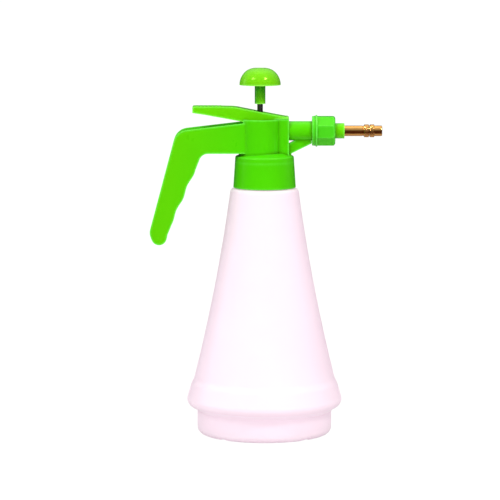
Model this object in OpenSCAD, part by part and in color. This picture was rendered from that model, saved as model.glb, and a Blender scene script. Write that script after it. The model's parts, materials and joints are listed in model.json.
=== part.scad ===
// Hand-held compression sprayer of about one litre: a conical blow-moulded bottle, a one-piece
// moulded head with pistol handle, a thumb lever that lifts a poppet valve, an air pump whose
// cylinder hangs in the bottle, and an adjustable brass nozzle.
// Frame: origin at the centre of the bottle's foot, +Z up, +X the way the nozzle points.

/* [Bottle] */
// Outer radius of the foot ring
foot_r = 52.4; // [51:0.1:54]
// Radius of the widest rounded skirt
skirt_r = 60.5; // [59:0.5:63]
// Radius of the cone just under the head
shoulder_r = 26.6; // [26:0.2:28]
// Height of the shoulder above the ground
shoulder_z = 190; // [188:1:192]
// Wall of the blow moulding
bottle_wall = 1.8; // [1.5:0.1:2]

/* [Head] */
// Outer radius of the tower
tower_r = 16.5; // [16:0.1:17.5]
// Height of the tower's rim above the ground
tower_z = 246.5; // [246:0.25:247]
// Width of the handle
handle_w = 24; // [22.5:0.5:26]
// Outer radius of the arm that carries the nozzle
arm_r = 7.5; // [7.2:0.05:7.6]
// Height of the nozzle's axis
nozzle_z = 237.2; // [237:0.1:237.6]
// Depth of the finger scallops
scallop = 1.25; // [0.5:0.25:1.75]

/* [Lever] */
// Outer width of the thumb lever
lever_w = 15.4; // [15:0.2:15.4]
// Wall of the lever's channel section
lever_wall = 1.8; // [1.5:0.1:2]

/* [Pump] */
// Outer radius of the pump knob
knob_r = 16; // [15:0.2:17]
// Height of the knob's dome
knob_h = 13.1; // [12:0.1:15]
// Radius of the steel rod
rod_r = 2.2; // [2:0.05:2.25]
// Inner radius of the pump cylinder
bore_r = 9.4; // [9.2:0.1:9.5]

/* [Nozzle] */
// Radius of the brass barrel
barrel_r = 4.1; // [3.8:0.05:4.2]
// Radius of the two knurled rings
knurl_r = 5; // [4.75:0.05:5.1]
// Radius of the spray orifice
orifice_r = 0.6; // [0.4:0.1:1]

/* [Hidden] */
$fn = 64;
green = [0.28, 0.80, 0.02];
white = [0.95, 0.93, 0.94];
clear_white = [0.90, 0.92, 0.92];
brass = [0.78, 0.52, 0.22];
steel = [0.72, 0.73, 0.75];
rubber = [0.06, 0.06, 0.06];

// Bottle heights
foot_round = 4.8;           // rounding under the foot
foot_in = foot_r - foot_round;
foot_floor = 4.6;           // thickness of the foot's floor
foot_wall = 2;              // wall of the foot
foot_fillet = 5;            // rounding inside the foot
dome_r = 37.5;              // radius of the pushed-up base
dome_z = 7.5;               // underside of the pushed-up base at its centre
skirt_z = 27;               // height of the widest line
skirt_top = 40.5;           // where the skirt meets the cone
skirt_lean = 0.295;         // how fast the skirt draws in with height
blend_z0 = 39;              // the skirt runs smoothly into the cone
blend_z1 = 44.5;
notch_l = 16;               // the four drain notches in the foot, one steep end and one sloping
notch_h = 2.4;
notch_r = 42.2;             // the notches leave the inner edge of the foot whole

// Neck and its thread
neck_r = 19.3;
neck_in = 17.5;
neck_z = 212;               // rim of the neck
pitch = 5;
neck_crest = 20.9;
cap_in = 21.5;              // inside of the cap's skirt
cap_crest = 19.8;

// Head
cap_z = 193.1;              // lower edge of the cap
cap_r0 = 24.3;
cap_r1 = 22.8;
cap_top = 217.9;
base_z = 220.3;             // foot of the tower and underside of the handle
seat_z = 213.8;             // ceiling inside the cap
pump_x = -3.5;              // the pump stands behind the bottle's axis
well_r = tower_r - 2.2;
well_z = 230;               // floor of the well in the tower
block_x = 18.9;             // front face of the valve block
block_w = 16;
block_z = 246.7;
handle_wall = 2.2;
brace_w = 5.5;              // web under the nozzle arm
brace_x = 36.6;             // its front end, just behind the nut

// Valve
valve_x = 13;
valve_r = 3.2;
valve_z = 224;              // valve seat
valve_top = 241.2;
stem_r = 1.45;
pivot = [2.5, 243];         // lever pin, x and z
pin_r = 1.2;

// Pump cylinder, with the knob raised as it rests
cyl_r = bore_r + 1.6;
cyl_z0 = 116;
cyl_z1 = 224;
piston_z = 138.5;
piston_h = 12;
knob_z = 272.9;
stem_z = 258.3;             // lower end of the knob's stem
knob_stem_r = 4.15;

// Nozzle stations along X
nut_x0 = 36.9;
nut_x1 = 54.8;
nut_flat_r = 11.2;          // across flats, halved
spigot_x = 48.5;            // end of the arm
spigot_r = 8.7;
adapter_r = 5.95;
adapter_x = 61.9;
collar_x = 77.3;
collar_l = 3.5;
tip_x = 81.7;
knurl_l = 3.4;
tip_end = 91.2;

function arc(c, r, a0, a1, n) =
    [for (i = [0 : n]) let (a = a0 + (a1 - a0) * i / n) c + r * [cos(a), sin(a)]];

// Cone of the bottle, a little trumpet shaped
function cone_r(z) = let (t = shoulder_z - z) shoulder_r + 0.135 * t + 0.0004 * t * t;
function cone(z0, z1, inset, n) =
    [for (i = [0 : n]) let (z = z0 + (z1 - z0) * i / n) [cone_r(z) - inset, z]];

// From the skirt's side to the cone, weighted by a smooth step
function skirt_side(z) = skirt_r - 0.1 - skirt_lean * (z - skirt_z - 1);
function blend(n) = [for (i = [0 : n])
    let (t = i / n, w = t * t * (3 - 2 * t), z = blend_z0 + (blend_z1 - blend_z0) * t)
    [(1 - w) * skirt_side(z) + w * cone_r(z), z]];

module along_x(x, z) {
    translate([x, 0, z]) rotate([0, 90, 0]) children();
}

module ring_x(x, l, r, bore) {
    along_x(x, nozzle_z) difference() {
        cylinder(r = r, h = l);
        translate([0, 0, -1]) cylinder(r = bore, h = l + 2);
    }
}

module torus(r, wire) {
    rotate_extrude() translate([r, 0]) circle(r = wire, $fn = 24);
}

// Solid swept along a helix: pts holds each ring's points in turn, all in the same order
module helix(rings, sides, pts) {
    polyhedron(
        points = pts,
        faces = concat(
            [[for (j = [0 : sides - 1]) j]],
            [[for (j = [sides - 1 : -1 : 0]) (rings - 1) * sides + j]],
            [for (i = [0 : rings - 2], j = [0 : sides - 1]) let (k = (j + 1) % sides)
                [i * sides + k, i * sides + j, (i + 1) * sides + j]],
            [for (i = [0 : rings - 2], j = [0 : sides - 1]) let (k = (j + 1) % sides)
                [i * sides + k, (i + 1) * sides + j, (i + 1) * sides + k]]));
}

// Trapezoid screw ridge between a root and a crest radius, fading in and out at its ends
module thread(root, crest, z0, turns, base, tip, flip) {
    step = 12;
    rings = ceil(turns * 360 / step) + 1;
    pts = [for (i = [0 : rings - 1])
        let (a = i * step, fade = min(1, min(i, rings - 1 - i) / 3 + 0.12),
             c = root + (crest - root) * fade, z = z0 + pitch * a / 360,
             half = [base / 2, tip / 2, -tip / 2, -base / 2], rad = [root, c, c, root])
        for (j = [0 : 3]) let (m = flip ? 3 - j : j)
            [rad[m] * cos(a), rad[m] * sin(a), z + half[m]]];
    helix(rings, 4, pts);
}

module bottle() {
    outer = concat(
        [[0, dome_z], [dome_r, 3.2], [40, 0]],
        arc([foot_in, foot_round], foot_round, -90, 0, 8),
        [[foot_r, 18.6]],
        arc([skirt_r - 6, skirt_z], 6, -72, 10, 8),
        blend(6),
        cone(blend_z1 + 5, shoulder_z, 0, 14),
        arc([shoulder_r - 2.4, shoulder_z + 0.2], 2.3, 0, 90, 5),
        [[neck_r + 0.6, shoulder_z + 2.6], [neck_r, shoulder_z + 3.4], [neck_r, neck_z - 0.6],
         [neck_r - 0.6, neck_z], [neck_in, neck_z]]);
    inner = concat(
        [[neck_in, neck_z], [neck_in, shoulder_z + 1.2],
         [shoulder_r - 2.8, shoulder_z + 0.4]],
        cone(shoulder_z - 1.4, skirt_top + 1.5, bottle_wall, 14),
        [[skirt_r - 5.6, skirt_top - 1.5], [skirt_r - 1.9, skirt_z + 1],
         [skirt_r - 3.8, skirt_z - 3.6], [foot_r - foot_wall, 20.6]],
        arc([foot_r - foot_wall - foot_fillet, foot_floor + foot_fillet], foot_fillet, 0, -90, 5),
        [[40.6, foot_floor], [dome_r - 0.6, 6.6], [0, dome_z + 3]]);
    color(white) difference() {
        union() {
            rotate_extrude() polygon(concat(outer, inner));
            thread(neck_r - 0.9, neck_crest, 198, 1.75, 3, 1.1, false);
        }
        for (i = [0, 1], j = [0, 1]) mirror([i, 0, 0]) mirror([0, j, 0])
            rotate([0, 0, 45]) translate([notch_r, 0, 0]) rotate([90, 0, 90])
                linear_extrude(foot_r) polygon([[0, -1], [notch_l, -1], [0, notch_h]]);
    }
}

module neck_gasket() {
    color(rubber) translate([0, 0, neck_z + 0.05]) difference() {
        cylinder(r = 21.2, h = seat_z - neck_z - 0.1);
        translate([0, 0, -1]) cylinder(r = neck_in - 0.1, h = 4);
    }
}

// Side view of the handle: top edge, back of the hand, round end, finger scallops, inner corner
back_a = 15.4;              // lean of the grip's back
grip_top = [-54.6, 204.4];  // first crest of the finger side
grip_a = 23.9;              // lean of the finger side
finger = 20.6;              // pitch of the scallops
function grip_side(n) = [for (i = [n : -1 : 0])
    let (s = i / n * 2.25 * finger - 0.18 * finger, d = scallop / 2 * (1 - cos(360 * s / finger)))
    grip_top + s * [-sin(grip_a), -cos(grip_a)] + d * [-cos(grip_a), sin(grip_a)]];

module handle_outline() {
    polygon(concat(
        [[-10, 244.6]],
        arc([-59.2, 227.1], 11.6, 96.8, 180 - back_a, 6),
        arc([-79.7, 158.9], 9.4, 180 - back_a, 200, 4),
        arc([-81.9, 155.1], 6, 200, 345, 8),
        [[-75.5, 156.8]],
        grip_side(27),
        arc([-43.8, base_z - 7], 7, 163, 90, 6),
        [[-10, base_z]]));
}

open_dir = [-0.72, 0.69];   // the side on which the handle's channel is open

module handle_pocket() {
    linear_extrude(handle_w - 2 * handle_wall, center = true) intersection() {
        handle_outline();
        translate(2.6 * open_dir) handle_outline();
        translate([-120, 140]) square([120 - 17.6, 130]);
    }
}

// Stiffening ribs across the channel, set back from its open side
module handle_ribs() {
    linear_extrude(handle_w - 2 * handle_wall + 0.4, center = true) intersection() {
        handle_outline();
        translate(-2 * open_dir) handle_outline();
        union() {
            for (i = [0 : 3]) translate([-57.5 - 6.6 * i, 211 - 15.5 * i])
                rotate(-back_a - 3) square([50, 1.5], center = true);
            translate([-54.5, 228]) rotate(52) square([44, 1.5], center = true);
            for (x = [-42, -29]) translate([x, 220]) square([1.5, 16.5]);
        }
    }
}

module side(w) {
    rotate([90, 0, 0]) linear_extrude(w, center = true) children();
}

module head_outside() {
    rotate_extrude() polygon(concat(
        [[0, cap_z], [cap_r0 - 0.4, cap_z], [cap_r0, cap_z + 0.5]],
        arc([cap_r1 - 1.4, cap_top - 1.4], 1.4, 0, 62, 4),
        [[tower_r - 0.4, base_z], [0, base_z]]));
    translate([pump_x, 0, cap_top - 1]) cylinder(r = tower_r, h = tower_z - cap_top + 1);
    translate([0, -block_w / 2, cap_top - 1])
        cube([block_x, block_w, block_z - cap_top + 1]);
    along_x(18, nozzle_z) cylinder(r = arm_r, h = 20.6);
    along_x(38.4, nozzle_z) cylinder(r = spigot_r - 0.8, h = spigot_x - 38.4);
    for (x = [40 : 1.8 : 47])
        along_x(x, nozzle_z) cylinder(r = spigot_r, h = 0.9);
    side(brace_w) polygon([[16, cap_top - 0.5], [20.9, cap_top - 0.5], [20.9, base_z - 0.5],
                           [brace_x, 227.6], [brace_x, 232], [24.8, 230.6], [17, 226.4]]);
    rotate([90, 0, 0]) linear_extrude(handle_w, center = true) handle_outline();
}

module head_bosses() {
    translate([pump_x, 0, 208]) cylinder(r = cyl_r + 2.2, h = well_z - 208);
    translate([valve_x, 0, 208]) cylinder(r = 3.6, h = 10);
    translate([valve_x, 0, 216]) cylinder(r = 5.2, h = valve_top + 0.1 - 216);
    for (s = [0, 1]) mirror([0, s, 0])
        translate([pivot[0] - 3, lever_w / 2 + 0.3, well_z - 1])
            cube([6, 13.2 - lever_w / 2 - 0.3, tower_z + 0.5 - well_z]);
    rotate([90, 0, 0]) handle_ribs();
}

module head_body() {
    color(green) difference() {
        union() {
            difference() {
                head_outside();
                translate([0, 0, cap_z - 1]) cylinder(r = cap_in, h = seat_z - cap_z + 1);
                translate([pump_x, 0, well_z]) cylinder(r = well_r, h = 30);
                translate([-24, -handle_w / 2 + handle_wall, 236])
                    cube([14, handle_w - 2 * handle_wall, 30]);
                translate([5, -4.2, valve_top + 0.1]) cube([12.2, 8.4, 30]);
                rotate([90, 0, 0]) handle_pocket();
            }
            head_bosses();
            thread(cap_in + 0.9, cap_crest, 201.2, 1.25, 3, 1.1, true);
        }
        translate([pump_x, 0, 200]) cylinder(r = cyl_r + 0.05, h = cyl_z1 - 200);
        translate([pump_x, 0, 200]) cylinder(r = 8, h = 60);
        translate([valve_x, 0, valve_z]) cylinder(r = valve_r, h = 40);
        translate([valve_x, 0, valve_top - 1]) cylinder(r = 4.05, h = 20);
        translate([valve_x, 0, 200]) cylinder(r = 1.5, h = 30);
        translate([valve_x, 0, 200]) cylinder(r = 2.25, h = 19);
        along_x(valve_x, nozzle_z) cylinder(r = 2.6, h = 50);
        translate([pivot[0], 0, pivot[1]]) rotate([90, 0, 0])
            cylinder(r = pin_r + 0.05, h = 20.8, center = true);
        // the pin snaps in from above
        translate([pivot[0] - 1, -10.4, pivot[1]]) cube([2, 20.8, 10]);
    }
}

module pump_cylinder() {
    color(clear_white) translate([pump_x, 0, 0]) difference() {
        union() {
            translate([0, 0, cyl_z0]) cylinder(r = cyl_r, h = cyl_z1 - cyl_z0);
            translate([0, 0, 206]) cylinder(r = cyl_r + 1.8, h = 2);
        }
        translate([0, 0, cyl_z0 + 3]) cylinder(r = bore_r, h = 200);
        translate([0, 0, cyl_z0 - 1]) cylinder(r = 1.6, h = 5);
        for (a = [0 : 60 : 300]) rotate([0, 0, a]) translate([4.4, 0, cyl_z0 - 1])
            cylinder(r = 0.9, h = 5, $fn = 24);
    }
}

// Rubber umbrella under the cylinder, which lets air out into the bottle and not back
module check_valve() {
    color(rubber) translate([pump_x, 0, 0]) rotate_extrude() polygon([
        [0, 113.6], [2.2, 113.7], [6.4, 114.9], [6.6, 115.5], [6.2, cyl_z0 - 0.05],
        [1.55, cyl_z0 - 0.05], [1.55, cyl_z0 + 3.05], [2.1, cyl_z0 + 3.4], [1.3, 120.6], [0, 120.6]]);
}

module rod_guide() {
    color(green) translate([pump_x, 0, 0]) difference() {
        union() {
            translate([0, 0, cyl_z1 + 0.1]) cylinder(r = 7.95, h = well_z - cyl_z1);
            translate([0, 0, well_z + 0.05]) cylinder(r = 9.6, h = 2.4);
            translate([0, 0, well_z + 2]) cylinder(r1 = 6.2, r2 = 5.2, h = 6);
        }
        translate([0, 0, cyl_z1 - 1]) cylinder(r = rod_r + 0.07, h = 40);
        translate([0, 0, well_z + 6.4]) cylinder(r = 3.9, h = 10);
    }
}

module rod_wiper() {
    color(rubber) translate([pump_x, 0, well_z + 6.45]) difference() {
        cylinder(r = 3.85, h = 1.5);
        translate([0, 0, -1]) cylinder(r = rod_r + 0.05, h = 4);
    }
}

module pump_rod() {
    color(steel) translate([pump_x, 0, 0]) {
        translate([0, 0, piston_z - 2.5]) cylinder(r = rod_r, h = 274 - piston_z + 2.5);
    }
}

function dome(r, h, flat, n) =
    [for (i = [0 : n]) let (a = 90 * i / n) [flat + (r - flat) * cos(a), h * sin(a)]];

module pump_knob() {
    color(green) translate([pump_x, 0, knob_z]) difference() {
        union() {
            difference() {
                rotate_extrude() polygon(concat(
                    [[0, 0.3], [knob_r - 0.7, 0]], dome(knob_r, knob_h, 4, 12), [[0, knob_h]]));
                translate([0, 0, -1]) rotate_extrude() polygon(concat(
                    [[0, 0], [knob_r - 2.2, 0]], dome(knob_r - 2.2, knob_h - 1.4, 3, 8),
                    [[0, knob_h - 1.4]]));
            }
            translate([0, 0, stem_z - knob_z])
                cylinder(r = knob_stem_r, h = knob_z - stem_z + knob_h - 1.5);
            for (a = [45, 135]) rotate([0, 0, a]) translate([-knob_r + 2, -0.7, 1.5])
                cube([2 * knob_r - 4, 1.4, 4.5]);
        }
        translate([0, 0, stem_z - knob_z - 1]) cylinder(r = rod_r + 0.02, h = 274.05 - stem_z + 1);
    }
}

module piston() {
    color(white) translate([pump_x, 0, piston_z]) difference() {
        rotate_extrude() polygon([
            [0, 0.05], [bore_r - 0.9, 0.05], [bore_r - 0.2, 0.8], [bore_r - 0.2, 4], [7.2, 4],
            [7.2, 7], [bore_r - 0.2, 7], [bore_r - 0.2, 8.5], [6, 8.5], [4.4, piston_h],
            [0, piston_h]]);
        translate([0, 0, -1]) cylinder(r = rod_r + 0.02, h = piston_h + 2);
    }
}

module piston_oring() {
    color(rubber) translate([pump_x, 0, piston_z + 5.5]) torus(bore_r - 1.1, 1.05);
}

module piston_nut() {
    color(steel) translate([pump_x, 0, piston_z - 2.6]) difference() {
        cylinder(r = 4.2, h = 2.6, $fn = 6);
        translate([0, 0, -1]) cylinder(r = rod_r + 0.02, h = 5, $fn = 48);
    }
}

module dip_tube() {
    color(clear_white) translate([valve_x, 0, 18]) difference() {
        cylinder(r = 2.2, h = 218.9 - 18);
        translate([0, 0, -1]) cylinder(r = 1.4, h = 220);
    }
}

module intake_filter() {
    color(white) translate([valve_x, 0, 12]) difference() {
        union() {
            cylinder(r = 4.1, h = 7);
            translate([0, 0, 6]) cylinder(r = 3.3, h = 5);
        }
        translate([0, 0, 1.4]) cylinder(r = 3.1, h = 4.5);
        translate([0, 0, 5.8]) cylinder(r = 2.25, h = 10);
        for (a = [0 : 60 : 120]) rotate([0, 0, a]) translate([-6, -0.6, 2])
            cube([12, 1.2, 3]);
    }
}

// Side view of the lever: thumb pad behind, a nose in front and a deep belly round the pin
module lever_outline() {
    polygon(concat(
        [[-55.9, 251.6], [-55.9, 255.8], [-55.2, 256.5]],
        [[-38, 256.5]],
        arc([-27, 221.2], 35, 90, 79, 5),
        [[8, 250], [16.2, 248.5]],
        arc([17.4, 247], 1.5, 75, 0, 4),
        [[8, 247], [8, 241.6], [5.2, 240.5]],
        arc([pivot[0], pivot[1]], 2.7, -80, -150, 4),
        [[-9, 243.1], [-19.6, 245.3], [-46, 250.1]]));
}

module trigger_lever() {
    half = lever_w / 2;
    slot_r = knob_stem_r + 0.55;
    color(green) difference() {
        union() {
            difference() {
                side(lever_w) lever_outline();
                side(lever_w - 2 * lever_wall) difference() {
                    translate([0, -2]) lever_outline();
                    translate([-60, 230]) square([6, 40]);
                    translate([7, 230]) square([20, 40]);
                }
            }
            translate([6.2, -3.9, 241.6]) cube([10.8, 7.8, 5.6]);
            for (i = [0 : 6]) translate([-53 + 3 * i, -half + 2, 256.2])
                cube([1.2, lever_w - 4, 0.55]);
        }
        // the stem's head hangs in a slot that is open to the front
        translate([10.3, -2.75, 243]) cube([12, 5.5, 3.8]);
        translate([11.2, -1.65, 240]) cube([12, 3.3, 5]);
        for (x = [pump_x, pump_x + 1.5])
            translate([x, 0, 238]) cylinder(r = slot_r, h = 30);
        translate([pivot[0], 0, pivot[1]]) rotate([90, 0, 0])
            cylinder(r = pin_r + 0.05, h = 30, center = true);
    }
}

module lever_pin() {
    color(steel) translate([pivot[0], 0, pivot[1]]) rotate([90, 0, 0])
        cylinder(r = pin_r, h = 20.4, center = true);
}

module valve_stem() {
    color(brass) translate([valve_x, 0, 0]) rotate_extrude() polygon([
        [0, 225], [0.95, 225], [0.95, 226.45], [2.6, 226.45], [2.6, 227.6], [stem_r, 227.6],
        [stem_r, 243.45], [2.5, 243.45], [2.5, 244.6], [1.6, 245.2], [0, 245.2]]);
}

module valve_seal() {
    color(rubber) translate([valve_x, 0, 0]) difference() {
        translate([0, 0, valve_z + 0.02]) cylinder(r1 = 2.1, r2 = 2.5, h = 2.4);
        translate([0, 0, 224.98]) cylinder(r = 0.97, h = 5);
    }
}

spring_z0 = 227.65;
spring_z1 = 238.15;
module valve_spring() {
    turns = 6;
    rings = turns * 16 + 1;
    sides = 6;
    wire = 0.35;
    pts = [for (i = [0 : rings - 1], j = [0 : sides - 1])
        let (a = i * 22.5, b = -j * 60, r = 2.3 + wire * cos(b),
             z = spring_z0 + wire + (spring_z1 - spring_z0 - 2 * wire) * i / (rings - 1))
        [r * cos(a), r * sin(a), z + wire * sin(b)]];
    color(steel) translate([valve_x, 0, 0]) helix(rings, sides, pts);
}

module gland_washer() {
    color(steel) translate([valve_x, 0, 238.2]) difference() {
        cylinder(r = 3.1, h = 0.5);
        translate([0, 0, -1]) cylinder(r = stem_r + 0.1, h = 3);
    }
}

module valve_gland() {
    color(green) translate([valve_x, 0, 0]) difference() {
        union() {
            translate([0, 0, 238.75]) cylinder(r = 3.15, h = 1.6);
            translate([0, 0, 240.25]) cylinder(r = 4, h = 0.9);
        }
        translate([0, 0, 238]) cylinder(r = 2.7, h = 2.05);
        translate([0, 0, 238]) cylinder(r = stem_r + 0.08, h = 5);
    }
}

module gland_oring() {
    color(rubber) translate([valve_x, 0, 239.38]) torus(2.08, 0.58);
}

module nozzle_nut() {
    l = nut_x1 - nut_x0;
    edge_r = nut_flat_r / cos(22.5);
    color([0.22, 0.80, 0.16]) along_x(nut_x0, nozzle_z) difference() {
        union() {
            cylinder(r1 = 11.4, r2 = 11.7, h = 2.8);
            translate([0, 0, 2.8]) cylinder(r = 12.3, h = 1.1);
            intersection() {
                translate([0, 0, 3.8]) rotate([0, 0, 22.5])
                    cylinder(r = edge_r, h = l - 3.8, $fn = 8);
                rotate_extrude() polygon([
                    [0, 3], [13, 3], [13, l - 2.6], [edge_r - 0.9, l - 0.8],
                    [edge_r - 2, l], [0, l]]);
            }
        }
        translate([0, 0, -1]) cylinder(r = 9.1, h = l - 1.2);
        translate([0, 0, -1]) cylinder(r = adapter_r + 0.1, h = l + 2);
    }
}

module nozzle_washer() {
    color(rubber) ring_x(spigot_x + 0.02, 1.75, 8.4, 3.2);
}

module nozzle_adapter() {
    x0 = spigot_x + 1.8;
    color([0.36, 0.82, 0.10]) along_x(x0, nozzle_z) difference() {
        union() {
            cylinder(r = 8.6, h = 2.1);
            cylinder(r = adapter_r, h = adapter_x - x0);
        }
        translate([0, 0, -1]) cylinder(r = 2, h = 20);
        translate([0, 0, 3.2]) cylinder(r = barrel_r + 0.02, h = 20);
    }
}

// Barrel with its knurled collar and the thin spigot that the tip screws on
module nozzle_barrel() {
    x0 = spigot_x + 5.05;
    color(brass) along_x(x0, nozzle_z) difference() {
        union() {
            cylinder(r = barrel_r, h = collar_x - x0 + 0.5);
            translate([0, 0, collar_x - x0]) cylinder(r = knurl_r, h = collar_l);
            translate([0, 0, collar_x - x0]) cylinder(r = barrel_r + 0.3, h = collar_l + 0.6);
            translate([0, 0, collar_x - x0]) cylinder(r = 2.7, h = 86.6 - collar_x);
        }
        translate([0, 0, -1]) cylinder(r = 1.7, h = 60);
    }
}

module swirl_core() {
    color(brass) along_x(83.4, nozzle_z) difference() {
        union() {
            cylinder(r = 1.65, h = 3.1);
            translate([0, 0, 3.1]) cylinder(r1 = 1.65, r2 = 0.7, h = 0.9);
        }
        for (a = [0, 90]) rotate([0, 0, a]) for (s = [-1, 1])
            translate([-0.35, s * 1.6 - 0.5, -1]) cube([0.7, 1, 6]);
    }
}

module nozzle_tip() {
    color(brass) along_x(0, nozzle_z) rotate_extrude() polygon([
        [2.78, tip_x], [knurl_r - 0.3, tip_x], [knurl_r, tip_x + 0.3],
        [knurl_r, tip_x + knurl_l - 0.3], [knurl_r - 0.3, tip_x + knurl_l],
        [barrel_r, tip_x + knurl_l], [barrel_r, tip_end - 0.5], [barrel_r - 0.5, tip_end],
        [2.2, tip_end], [1.7, tip_end - 1], [orifice_r, tip_end - 1.2], [orifice_r, 89],
        [1.1, 88.4], [2.78, 88.4], [2.78, tip_x + 2.1], [3.8, tip_x + 2.1],
        [3.8, tip_x + 1], [2.78, tip_x + 1]]);
}

module tip_oring() {
    color(rubber) along_x(tip_x + 1.55, nozzle_z) torus(3.27, 0.5);
}

bottle();
neck_gasket();
head_body();
pump_cylinder();
check_valve();
rod_guide();
rod_wiper();
pump_rod();
pump_knob();
piston();
piston_oring();
piston_nut();
dip_tube();
intake_filter();
trigger_lever();
lever_pin();
valve_stem();
valve_seal();
valve_spring();
valve_gland();
gland_oring();
gland_washer();
nozzle_nut();
nozzle_washer();
nozzle_adapter();
nozzle_barrel();
swirl_core();
nozzle_tip();
tip_oring();
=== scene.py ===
"""Studio picture of a one-litre compression sprayer: CAD frame, finished surfaces, lights and camera."""
import json
import math

import bmesh
import bpy
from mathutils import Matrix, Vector


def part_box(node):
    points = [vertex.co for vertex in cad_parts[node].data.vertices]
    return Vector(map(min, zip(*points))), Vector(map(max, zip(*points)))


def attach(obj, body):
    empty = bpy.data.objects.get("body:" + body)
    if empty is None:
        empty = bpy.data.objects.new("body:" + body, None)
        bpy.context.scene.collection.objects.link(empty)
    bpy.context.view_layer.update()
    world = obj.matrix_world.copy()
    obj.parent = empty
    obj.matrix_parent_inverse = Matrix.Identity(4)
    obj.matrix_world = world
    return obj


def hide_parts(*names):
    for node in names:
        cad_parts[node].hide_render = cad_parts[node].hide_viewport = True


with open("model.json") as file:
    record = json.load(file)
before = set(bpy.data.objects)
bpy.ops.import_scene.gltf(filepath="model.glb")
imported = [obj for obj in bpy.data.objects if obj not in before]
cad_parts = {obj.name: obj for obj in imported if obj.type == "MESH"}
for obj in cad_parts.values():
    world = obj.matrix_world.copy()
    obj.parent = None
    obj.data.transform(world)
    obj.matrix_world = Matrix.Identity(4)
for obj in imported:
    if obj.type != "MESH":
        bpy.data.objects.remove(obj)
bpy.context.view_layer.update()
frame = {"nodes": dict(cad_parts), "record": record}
nodes = frame["nodes"]

MM = 0.001
scene = bpy.context.scene
scene.view_settings.view_transform = "Standard"

# Camera: a long lens a little above the knob, looking slightly down
CAMERA_AT = Vector((-0.0113, -2.300, 0.428))
CAMERA_DOWN = math.radians(7.04)
CAMERA_LENS = 213.9

# Brass nozzle, in millimetres: the barrel's radius, the lengths of the two knurled collars, and how
# far the barrel's collar starts behind the tip
BARREL_R = 4.1
COLLAR_L = 3.5
TIP_COLLAR_L = 3.4
COLLAR_BACK = 4.4

# Knurls: depth in millimetres, ridges around, slant in radians a millimetre, rows of points along
KNURL_DEEP = 0.17
KNURL_TEETH = 22
KNURL_LEAN = 1.9
KNURL_ROWS = 14

# Parting line of the bottle, in millimetres: lowest and highest point, width and height of its ridge
SEAM_Z = (7, 192)
SEAM_WIDTH = 0.35
SEAM_RISE = 0.10

# Studio: half the floor's width and the point that the lamps are aimed at, in metres
FLOOR_HALF = 30.0
LAMPS_AIM = (0, 0, 0.16)

# Colours, linear
GREEN = (0.066, 0.605, 0.001)
LIME = (0.120, 0.640, 0.001)
KNOB = (0.160, 0.610, 0.004)
NUT_GREEN = (0.060, 0.600, 0.012)
MILK = (0.640, 0.570, 0.620)
CLEAR = (0.800, 0.810, 0.800)
WHITE = (0.780, 0.780, 0.760)
BRASS = (0.760, 0.400, 0.115)
STEEL = (0.560, 0.560, 0.580)
ROD = (0.090, 0.082, 0.090)
RUBBER = (0.016, 0.016, 0.017)
# Tones of the painted shade: in the corners of the mouldings, and under the knob's dome
CORNER_SHADE_OLIVE = (0.060, 0.200, 0.001)
KNOB_SHADE_GREEN = (0.001, 0.270, 0.001)
# The yellower tone that the head's green turns to far from the bottle's axis
OUTER_GREEN = (0.102, 0.610, 0.001)

# Distances from the bottle's axis between which the head's green turns to its yellower outer tone
OUTER_TONE_MM = (12, 75)


# ---------------------------------------------------------------- materials

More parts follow.
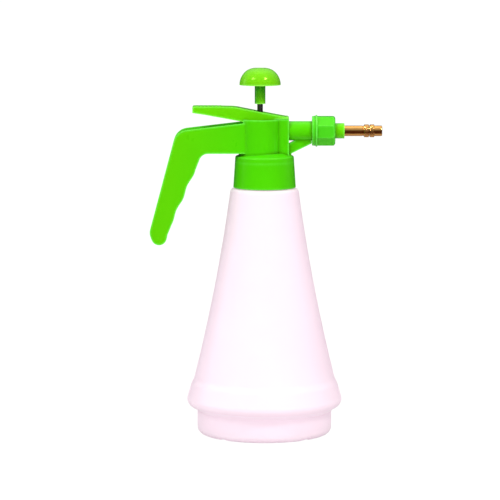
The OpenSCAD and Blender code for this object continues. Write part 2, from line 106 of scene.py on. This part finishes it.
class Graph:
    """A material's node tree, with short calls for the nodes that are used here."""

    def __init__(self, name):
        self.material = bpy.data.materials.new(name)
        self.material.use_nodes = True
        self.tree = self.material.node_tree
        self.shader = self.tree.nodes["Principled BSDF"]
        self.coord = self.add("ShaderNodeTexCoord").outputs["Object"]

    def add(self, kind, **inputs):
        node = self.tree.nodes.new(kind)
        for key, value in inputs.items():
            self.put(node.inputs[key.replace("_", " ")], value)
        return node

    def put(self, socket, value):
        if isinstance(value, bpy.types.NodeSocket):
            self.tree.links.new(value, socket)
        elif hasattr(value, "__len__") and len(value) == 3 and socket.type == "RGBA":
            socket.default_value = (*value, 1)
        else:
            socket.default_value = value

    def set(self, name, value):
        self.put(self.shader.inputs[name], value)

    def noise(self, size_mm, detail=3.0, stretch=(1, 1, 1)):
        """Noise whose features are about size_mm across, 0 to 1."""
        place = self.add("ShaderNodeMapping", Vector=self.coord, Scale=stretch)
        return self.add("ShaderNodeTexNoise", Vector=place.outputs["Vector"],
                        Scale=1 / (size_mm * MM), Detail=detail).outputs["Fac"]

    def fit(self, value, low, high, start=0.3, end=0.7):
        """Value's stretch from start to end spread over low to high."""
        node = self.add("ShaderNodeMapRange", Value=value)
        for key, v in (("From Min", start), ("From Max", end), ("To Min", low), ("To Max", high)):
            node.inputs[key].default_value = v
        return node.outputs["Result"]

    def math(self, operation, a, b=0.0):
        node = self.add("ShaderNodeMath")
        node.operation = operation
        self.put(node.inputs[0], a)
        self.put(node.inputs[1], b)
        return node.outputs["Value"]

    def mix(self, factor, a, b):
        node = self.add("ShaderNodeMix")
        node.data_type = "RGBA"
        self.put(node.inputs["Factor"], factor)
        self.put(node.inputs["A"], a)
        self.put(node.inputs["B"], b)
        return node.outputs["Result"]

    def occlusion(self, reach_mm, inside=False):
        """1 in the open, less in corners; with inside, less near outer edges instead."""
        node = self.add("ShaderNodeAmbientOcclusion", Distance=reach_mm * MM)
        node.samples = 6
        node.inside = inside
        node.only_local = inside
        return node.outputs["AO"]

    def from_middle(self, near_mm, far_mm):
        """0 within near_mm of the bottle's axis along X, 1 beyond far_mm."""
        split = self.add("ShaderNodeSeparateXYZ", Vector=self.coord)
        return self.fit(self.math("ABSOLUTE", split.outputs["X"]), 0, 1, near_mm * MM, far_mm * MM)

    def seam(self, axis, width_mm):
        """1 on the mould's parting line, the plane through the origin across this axis, 0 off it."""
        split = self.add("ShaderNodeSeparateXYZ", Vector=self.coord)
        away = self.math("ABSOLUTE", split.outputs[axis])
        return self.fit(away, 1, 0, 0, width_mm * MM)

    def bump(self, height, depth_mm, under=None):
        node = self.add("ShaderNodeBump", Height=height)
        node.inputs["Strength"].default_value = 1.0
        node.inputs["Distance"].default_value = depth_mm * MM
        if under is not None:
            self.put(node.inputs["Normal"], under)
        return node.outputs["Normal"]


def shade(color, k):
    return tuple(min(1.0, c * k) for c in color)


def moulded(name, color, rough=0.30, grain_mm=0.5, gloss=0.5, tint=(0.55, 1.0, 0.12), seam=None, outer_tone=None,
            reach_mm=3, shade_tone=None, open_ao=(0.45, 0.95)):
    """Injection-moulded plastic: slow colour drift, painted shade in its corners, painted highlights on
    its outer edges, which also get a little rougher, fine grain.
    Outer tone is the yellower colour it turns to away from the middle, shade tone the painted shade of its
    corners."""
    g = Graph(name)
    drift = g.fit(g.noise(38, 2), 0, 1)
    body = g.mix(drift, shade(color, 0.95), shade(color, 1.05))
    if outer_tone:
        body = g.mix(g.from_middle(*OUTER_TONE_MM), body, outer_tone)
    # Painted shade: the colour darkens towards the shade tone where ambient occlusion finds surfaces close
    # by, in corners, creases and under overhangs
    painted_corner_shade = g.fit(g.occlusion(reach_mm), 1, 0, *open_ao)
    body = g.mix(painted_corner_shade, body, shade_tone or g.mix(0.5, shade(color, 0.55), CORNER_SHADE_OLIVE))
    # Painted highlight: outer edges turn lighter where their rounding would catch the lamps; the same mask
    # also makes them a little rougher, like rubbing
    edge_highlight_mask = g.fit(g.occlusion(1.6, True), 1, 0, 0.50, 0.95)
    edge_highlight_and_rub = g.math("MULTIPLY", edge_highlight_mask, g.fit(g.noise(6, 4), 0.6, 1.0))
    g.set("Base Color", g.mix(edge_highlight_and_rub, body, tuple(min(1.0, 1.4 * c + 0.09) for c in color)))
    smear = g.fit(g.noise(14, 5, (1, 1, 0.5)), rough - 0.04, rough + 0.05)
    g.set("Roughness", g.math("ADD", smear, g.math("MULTIPLY", edge_highlight_and_rub, 0.1)))
    low = g.bump(g.noise(16, 2), 0.03)
    if seam:
        low = g.bump(g.seam(seam, 0.16), 0.09, low)
    g.set("Normal", g.bump(g.noise(grain_mm, 3), 0.006, low))
    g.set("Subsurface Weight", 0.1)
    g.set("Subsurface Radius", (0.6, 1.0, 0.3))
    g.set("Subsurface Scale", 0.0015)
    g.set("IOR", 1.49)
    g.set("Specular IOR Level", gloss)
    g.set("Specular Tint", tint)
    return g.material


def milky(name, color, rough=0.34, glow=0.0):
    """Blow-moulded polyethylene: translucent white with slow thickness drift and faint flow streaks.
    Light that has wandered through the wall is painted on as a faint pink glow, an emission that also
    lifts its shaded parts."""
    g = Graph(name)
    drift = g.fit(g.noise(45, 2), 0, 1)
    g.set("Base Color", g.mix(drift, shade(color, 0.97), shade(color, 1.01)))
    g.set("Roughness", g.fit(g.noise(11, 4, (1, 1, 0.3)), rough - 0.04, rough + 0.08))
    low = g.bump(g.noise(22, 2), 0.10)
    g.set("Normal", g.bump(g.noise(0.9, 3, (1, 1, 0.5)), 0.008, low))
    g.set("Subsurface Weight", 0.45)
    g.set("Subsurface Radius", (1.0, 0.86, 0.95))
    g.set("Subsurface Scale", 0.006)
    g.set("IOR", 1.51)
    g.set("Specular IOR Level", 0.35)
    # Painted glow: a pink emission stands in for light that has passed through the wall
    g.set("Emission Color", (0.98, 0.77, 0.87))
    g.set("Emission Strength", glow)
    return g.material


def turned(name, color, rough=0.11, line_mm=0.18, axis="X"):
    """Turned metal: rings left by the tool, slight tarnish in patches."""
    g = Graph(name)
    wave = g.add("ShaderNodeTexWave", Vector=g.coord, Scale=0.314 / (line_mm * MM),
                 Distortion=1.5, Detail=2.0)
    wave.bands_direction = axis
    tarnish = g.fit(g.noise(5, 4), 0, 1)
    g.set("Base Color", g.mix(tarnish, color, shade(color, 0.78)))
    g.set("Metallic", 1.0)
    g.set("Roughness", g.fit(g.noise(2.5, 4), rough - 0.04, rough + 0.08))
    g.set("Normal", g.bump(wave.outputs["Fac"], 0.0015))
    return g.material


def polished(name, color, rough=0.12):
    """Ground and polished bar with fine lengthwise scratches."""
    g = Graph(name)
    g.set("Base Color", g.mix(g.fit(g.noise(8, 3), 0, 1), color, shade(color, 0.85)))
    g.set("Metallic", 1.0)
    g.set("Roughness", g.fit(g.noise(1.2, 3, (1, 1, 0.05)), rough - 0.03, rough + 0.08))
    g.set("Normal", g.bump(g.noise(0.3, 2, (1, 1, 0.03)), 0.002))
    return g.material


def rubbery(name, color):
    """Dull black rubber with a coarse skin."""
    g = Graph(name)
    g.set("Base Color", g.mix(g.fit(g.noise(4, 3), 0, 1), color, shade(color, 1.8)))
    g.set("Roughness", g.fit(g.noise(2, 3), 0.55, 0.75))
    g.set("Normal", g.bump(g.noise(0.35, 3), 0.02))
    return g.material


FINISHES = {
    "green_plastic": moulded("green_plastic", GREEN, seam="Y", outer_tone=OUTER_GREEN),
    "lime_plastic": moulded("lime_plastic", LIME),
    # The knob's long occlusion reach paints the shade under its dome onto the stem, in a dark green
    "knob_plastic": moulded("knob_plastic", KNOB, rough=0.20, gloss=0.65, reach_mm=18, shade_tone=KNOB_SHADE_GREEN,
                             open_ao=(0.66, 1.0)),
    "nut_plastic": moulded("nut_plastic", NUT_GREEN, rough=0.24),
    "bottle_plastic": milky("bottle_plastic", MILK, glow=0.36),
    "clear_plastic": milky("clear_plastic", CLEAR, 0.25),
    "white_plastic": moulded("white_plastic", WHITE, tint=(1, 1, 1)),
    "brass": turned("brass", BRASS),
    "steel": polished("steel", STEEL, 0.22),
    "dark_steel": polished("dark_steel", ROD),
    "rubber": rubbery("rubber", RUBBER),
}


# ---------------------------------------------------------------- CAD nodes

EDGE_MM = {"head_body": 0.55, "trigger_lever": 0.4, "nozzle_nut": 0.35, "nozzle_adapter": 0.3,
           "pump_knob": 0.3, "rod_guide": 0.3}


def round_edges(obj, width_mm):
    """Joins coplanar facets, then rounds the sharp edges as a mould does."""
    flat = obj.modifiers.new("flat", "DECIMATE")
    flat.decimate_type = "DISSOLVE"
    flat.angle_limit = math.radians(0.2)
    bevel = obj.modifiers.new("edges", "BEVEL")
    bevel.width = width_mm * MM
    bevel.segments = 3
    bevel.limit_method = "ANGLE"
    bevel.angle_limit = math.radians(35)
    bevel.harden_normals = False
    obj.modifiers.new("normals", "WEIGHTED_NORMAL").keep_sharp = True


def finish_nodes():
    """Gives every CAD piece its finish and the visible mouldings their rounded edges."""
    slots = {s["node"]: s["material_slot"] for s in frame["record"]["subparts"]}
    for name, obj in nodes.items():
        finish = slots[name]
        obj.data.materials.clear()
        obj.data.materials.append(FINISHES[finish])
        if name in EDGE_MM:
            round_edges(obj, EDGE_MM[name])


finish_nodes()


# ---------------------------------------------------------------- brass with real knurling

def middle(node):
    low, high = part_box(node)
    return (low + high) / 2


def knurl(angle, x):
    """Height of a diamond knurl, 0 in its grooves and 1 on the flats between them."""
    crossed = (abs(math.sin(KNURL_TEETH / 2 * angle + sign * KNURL_LEAN * x)) for sign in (-1, 1))
    return min(1.0, 1.9 * min(crossed))


def finish_piece(name, verts, faces, body, slot, sharp_deg=32):
    """Makes a closed piece from its points and faces, gives it its finish and hangs it on its body."""
    mesh = bpy.data.meshes.new(name)
    mesh.from_pydata(verts, [], faces)
    made = bmesh.new()
    made.from_mesh(mesh)
    bmesh.ops.recalc_face_normals(made, faces=made.faces)
    made.to_mesh(mesh)
    made.free()
    obj = bpy.data.objects.new(name, mesh)
    for face in mesh.polygons:
        face.use_smooth = True
    mesh.set_sharp_from_angle(angle=math.radians(sharp_deg))
    mesh.materials.append(FINISHES[slot])
    scene.collection.objects.link(obj)
    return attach(obj, body)


def turned_part(name, profile, knurled, body, columns=192):
    """Closed ring of (x, radius) points in millimetres turned about the nozzle's axis.
    Between the two x values in knurled the outer surface carries a diamond knurl."""
    axis = middle("nozzle_barrel")
    start, end, radius = knurled
    fine = [(start + (end - start) * i / KNURL_ROWS, radius) for i in range(KNURL_ROWS + 1)]
    at = profile.index(None)
    ring = profile[:at] + fine + profile[at + 1:]
    verts = []
    for x, r in ring:
        on_knurl = start + 0.2 < x < end - 0.2 and r == radius
        for k in range(columns):
            angle = 2 * math.pi * k / columns
            cut = KNURL_DEEP * (1 - knurl(angle, x - start)) if on_knurl else 0.0
            verts.append((x * MM, axis.y + (r - cut) * MM * math.cos(angle),
                          axis.z + (r - cut) * MM * math.sin(angle)))
    faces = []
    for i in range(len(ring)):
        j = (i + 1) % len(ring)
        for k in range(columns):
            n = (k + 1) % columns
            faces.append((i * columns + k, i * columns + n, j * columns + n, j * columns + k))
    return finish_piece(name, verts, faces, body, "brass")


def make_brass():
    """The barrel and the tip of the nozzle, turned anew with real knurls in place of the plain ones."""
    (x0, _, _), (x1, _, _) = (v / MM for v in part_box("nozzle_barrel"))
    tip_x0, tip_x1 = (v.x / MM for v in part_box("nozzle_tip"))
    knurl_r = (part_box("nozzle_tip")[1].z - middle("nozzle_tip").z) / MM
    barrel_r, collar, collar_l, tip_l = BARREL_R, tip_x0 - COLLAR_BACK, COLLAR_L, TIP_COLLAR_L
    barrel = turned_part("barrel_knurled", [
        (x0, 1.7), (x0, barrel_r - 0.3), (x0 + 0.3, barrel_r), (collar - 1.5, barrel_r),
        (collar - 1.3, barrel_r - 0.25), (collar - 0.9, barrel_r - 0.25), (collar - 0.7, barrel_r),
        (collar, barrel_r), (collar, knurl_r - 0.25), (collar + 0.2, knurl_r), None,
        (collar + collar_l, knurl_r - 0.25), (collar + collar_l, barrel_r + 0.3),
        (collar + collar_l + 0.6, barrel_r + 0.2), (collar + collar_l + 0.6, 2.7), (x1, 2.7), (x1, 1.7),
    ], (collar + 0.2, collar + collar_l - 0.2, knurl_r), "nozzle")
    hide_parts("nozzle_barrel")
    tip = turned_part("tip_knurled", [
        (tip_x0 + 2.1, 2.78), (tip_x0 + 2.1, 3.8), (tip_x0 + 1, 3.8), (tip_x0 + 1, 2.78), (tip_x0, 2.78),
        (tip_x0, knurl_r - 0.3), (tip_x0 + 0.2, knurl_r), None,
        (tip_x0 + tip_l, knurl_r - 0.3), (tip_x0 + tip_l, barrel_r), (tip_x1 - 0.6, barrel_r),
        (tip_x1 - 0.2, barrel_r - 0.15), (tip_x1, barrel_r - 0.5), (tip_x1, 2.2), (tip_x1 - 1, 1.7),
        (tip_x1 - 1.2, 0.6), (tip_x1 - 2.2, 0.6), (tip_x1 - 2.8, 1.1), (tip_x1 - 2.8, 2.78),
    ], (tip_x0 + 0.2, tip_x0 + tip_l - 0.2, knurl_r), "tip")
    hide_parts("nozzle_tip")


make_brass()


# ---------------------------------------------------------------- marks the moulds leave

def strip(name, points, width_mm, body, slot, rise_mm):
    """A low ridge along a line of surface points, each given with its outward direction."""
    verts, faces = [], []
    for i, (p, out) in enumerate(points):
        along = (points[min(i + 1, len(points) - 1)][0] - points[max(i - 1, 0)][0]).normalized()
        across = along.cross(out).normalized() * width_mm * MM
        sunk, proud = p - out * 0.15 * MM, p + out * rise_mm * MM
        verts += [sunk - across, proud - across * 0.35, proud + across * 0.35, sunk + across]
        if i:
            a, b = 4 * (i - 1), 4 * i
            faces += [(a + k, a + (k + 1) % 4, b + (k + 1) % 4, b + k) for k in range(4)]
    faces += [(0, 3, 2, 1), tuple(4 * len(points) - 4 + k for k in range(4))]
    return finish_piece(name, verts, faces, body, slot, 60)


def outline_points(node, direction, z_low, z_high, step_mm=1.5):
    """Points of a node's outer surface above each other, seen from the side that direction points to."""
    obj = nodes[node]
    points = []
    for i in range(int((z_high - z_low) / step_mm) + 1):
        z = (z_low + i * step_mm) * MM
        hit, at, normal, _ = obj.ray_cast(direction * 0.2 + Vector((0, 0, z)), -direction)
        if hit:
            points.append((at.copy(), normal.copy()))
    return points


def turned_z(name, ring, centre, body, slot, columns=64):
    """Closed ring of (radius, z) points in millimetres turned about an upright axis."""
    verts = [(centre.x + r * MM * math.cos(2 * math.pi * k / columns),
              centre.y + r * MM * math.sin(2 * math.pi * k / columns), z * MM)
             for r, z in ring for k in range(columns)]
    faces = [(i * columns + k, i * columns + (k + 1) % columns,
              (i + 1) % len(ring) * columns + (k + 1) % columns, (i + 1) % len(ring) * columns + k)
             for i in range(len(ring)) for k in range(columns)]
    return finish_piece(name, verts, faces, body, slot)


def make_marks():
    """Parting lines down the bottle and the gate's ring on top of the knob."""
    for name, side in (("bottle_seam_front", Vector((1, 0, 0))), ("bottle_seam_back", Vector((-1, 0, 0)))):
        strip(name, outline_points("bottle", side, *SEAM_Z), SEAM_WIDTH, "bottle", "bottle_plastic",
              SEAM_RISE)
    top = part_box("pump_knob")[1].z / MM
    centre = middle("pump_rod")
    ring = [(3.0, top - 0.4), (3.0, top - 0.02), (2.8, top + 0.08), (2.5, top - 0.02), (2.4, top - 0.4)]
    turned_z("knob_gate", ring, centre, "plunger", "knob_plastic")


make_marks()


# ---------------------------------------------------------------- studio

def area_light(name, at, target, size, power, color=(1, 1, 1)):
    data = bpy.data.lights.new(name, "AREA")
    data.shape = "RECTANGLE"
    data.size, data.size_y = size
    data.energy = power
    data.color = color
    light = bpy.data.objects.new(name, data)
    scene.collection.objects.link(light)
    light.location = at
    aim = Vector(target) - Vector(at)
    light.rotation_euler = aim.to_track_quat("-Z", "Y").to_euler()
    return light


def reflected_card(name, x_range, y, high, color):
    """Upright card of an even tone that shows only in reflections."""
    (left, right), low = x_range, 0.001
    mesh = bpy.data.meshes.new(name)
    corners = [(left, y, low), (right, y, low), (right, y, high), (left, y, high)]
    mesh.from_pydata(corners, [], [(0, 1, 2, 3)])
    card = bpy.data.objects.new(name, mesh)
    scene.collection.objects.link(card)
    look = Graph(name)
    look.set("Base Color", (0.01, 0.01, 0.01))
    look.set("Roughness", 1.0)
    look.set("Emission Color", color)
    look.set("Emission Strength", 1.0)
    mesh.materials.append(look.material)
    card.visible_camera = card.visible_diffuse = card.visible_shadow = card.visible_transmission = False


def make_floor():
    """Pale ground that reads as plain white to the camera and lights the object from below."""
    floor_mesh = bpy.data.meshes.new("floor")
    edge = FLOOR_HALF
    floor_mesh.from_pydata([(-edge, -edge, 0), (edge, -edge, 0), (edge, edge, 0), (-edge, edge, 0)],
                           [], [(0, 1, 2, 3)])
    floor = bpy.data.objects.new("floor", floor_mesh)
    scene.collection.objects.link(floor)
    g = Graph("floor")
    g.set("Base Color", g.mix(g.fit(g.noise(400, 2), 0, 1), (0.50, 0.48, 0.49), (0.54, 0.52, 0.53)))
    g.set("Roughness", 0.9)
    glow = g.add("ShaderNodeEmission", Color=(1, 1, 1), Strength=1.14)
    seen = g.add("ShaderNodeLightPath").outputs["Is Camera Ray"]
    blend = g.add("ShaderNodeMixShader", Fac=g.math("MULTIPLY", seen, 0.88))
    g.put(blend.inputs[1], g.shader.outputs["BSDF"])
    g.put(blend.inputs[2], glow.outputs["Emission"])
    g.put(g.tree.nodes["Material Output"].inputs["Surface"], blend.outputs["Shader"])
    floor_mesh.materials.append(g.material)


def make_world():
    """Soft surroundings, darker below and bright above."""
    world = bpy.data.worlds.new("studio")
    scene.world = world
    world.use_nodes = True
    tree = world.node_tree
    coord = tree.nodes.new("ShaderNodeTexCoord")
    height = tree.nodes.new("ShaderNodeSeparateXYZ")
    ramp = tree.nodes.new("ShaderNodeValToRGB")
    tree.links.new(coord.outputs["Generated"], height.inputs["Vector"])
    tree.links.new(height.outputs["Z"], ramp.inputs["Fac"])
    tree.links.new(ramp.outputs["Color"], tree.nodes["Background"].inputs["Color"])
    ramp.color_ramp.elements[0].color = (0.20, 0.20, 0.20, 1)
    ramp.color_ramp.elements[0].position = 0.25
    ramp.color_ramp.elements[1].color = (0.95, 0.95, 0.95, 1)
    ramp.color_ramp.elements[1].position = 0.85


def make_lights():
    """Two small keys for the twin highlights, weak lights around, and cards for the dark bands."""
    area_light("key_left", (-1.11, -1.04, 1.55), LAMPS_AIM, (0.45, 0.27), 10)
    area_light("key_right", (0.90, -1.07, 1.58), LAMPS_AIM, (0.23, 0.23), 14, (1.0, 0.90, 0.90))
    fill = area_light("fill", (0.0, -2.2, 0.55), LAMPS_AIM, (0.5, 0.5), 17)
    fill.visible_glossy = False
    area_light("side_left", (-1.9, 0.3, 0.5), LAMPS_AIM, (0.7, 1.4), 4)
    area_light("top", (0.0, 0.2, 1.9), LAMPS_AIM, (1.2, 1.2), 4)
    # The front card makes the bands on the rod and the brass, the back card makes dark outlines
    reflected_card("card_front", (-0.35, 2.5), -0.115, 0.239, (0.080, 0.024, 0.010))
    reflected_card("card_back", (-2.5, 2.5), 0.45, 0.34, (0.02, 0.02, 0.02))


def make_camera():
    data = bpy.data.cameras.new("camera")
    data.lens = CAMERA_LENS
    data.sensor_width = 36
    data.clip_end = 100
    camera = bpy.data.objects.new("camera", data)
    scene.collection.objects.link(camera)
    camera.location = CAMERA_AT
    camera.rotation_euler = (math.pi / 2 - CAMERA_DOWN, 0, 0)
    scene.camera = camera


make_floor()
make_world()
make_lights()
make_camera()
